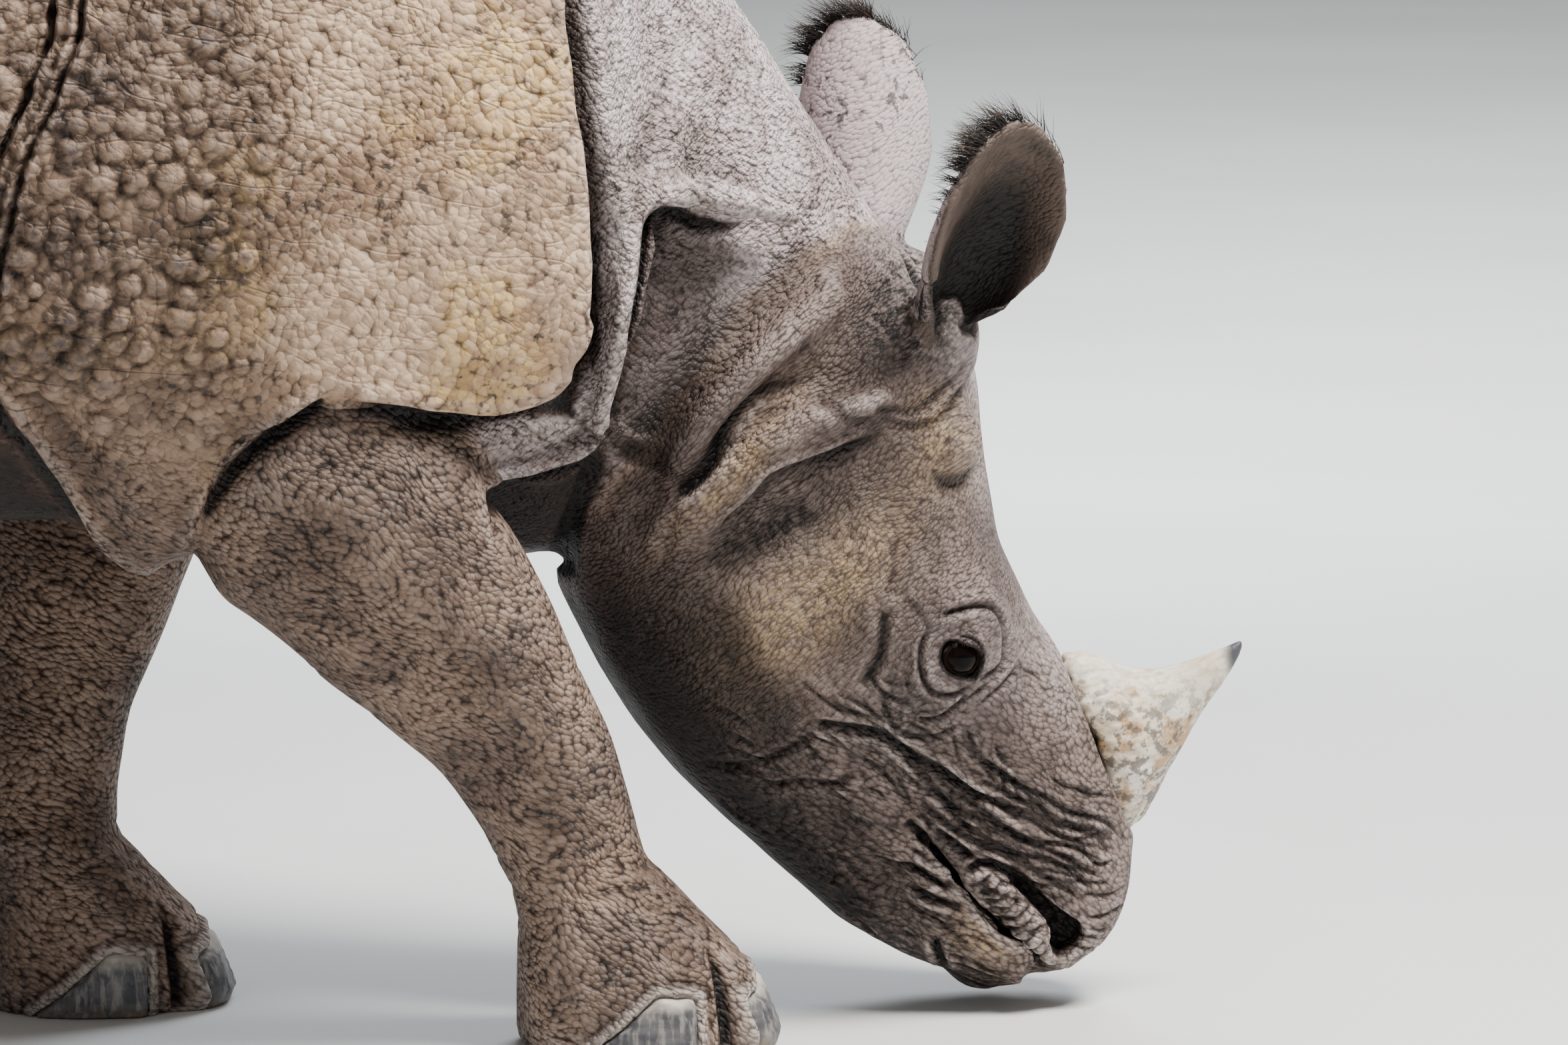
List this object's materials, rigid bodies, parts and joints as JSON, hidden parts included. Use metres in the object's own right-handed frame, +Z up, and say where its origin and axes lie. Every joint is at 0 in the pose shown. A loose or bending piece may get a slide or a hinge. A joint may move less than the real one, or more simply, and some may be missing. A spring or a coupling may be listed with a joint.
{
  "type": "rhinoceros figure",
  "caption": "Still, life-size greater one-horned rhinoceros, grazing with its head low, armour-like folds of hide and a short horn.",
  "frame": {"origin": "on the ground, under the middle of the bounding box", "axes": "+X towards the head, +Y to the animal's left, +Z up"},
  "size_m": [2.9566, 1.04, 1.65],
  "materials": {
    "skin": "thick dusty grey hide with folds and knobs",
    "horn": "pale fibrous keratin, worn smooth towards a dark tip",
    "nail": "dark blue-grey toenails, scuffed pale at the edge",
    "eye": "wet, very dark brown",
    "hair": "coarse black-brown bristles"
  },
  "bodies": {
    "root": {"head": "skin", "lower_jaw": "skin", "horn": "horn", "right_eye": "eye", "left_eye": "eye", "right_ear": "skin", "left_ear": "skin", "neck": "skin", "chest": "skin", "shoulder_plate": "skin", "barrel": "skin", "rump_plate": "skin", "groin": "skin", "tail": "skin", "tail_tuft": "hair", "right_fore_leg": "skin", "right_fore_foot": "skin", "right_fore_nail_middle": "nail", "right_fore_nail_left": "nail", "right_fore_nail_right": "nail", "left_fore_leg": "skin", "left_fore_foot": "skin", "left_fore_nail_middle": "nail", "left_fore_nail_left": "nail", "left_fore_nail_right": "nail", "right_hind_leg": "skin", "right_hind_foot": "skin", "right_hind_nail_middle": "nail", "right_hind_nail_left": "nail", "right_hind_nail_right": "nail", "left_hind_leg": "skin", "left_hind_foot": "skin", "left_hind_nail_middle": "nail", "left_hind_nail_left": "nail", "left_hind_nail_right": "nail"}
  },
  "joints": []
}
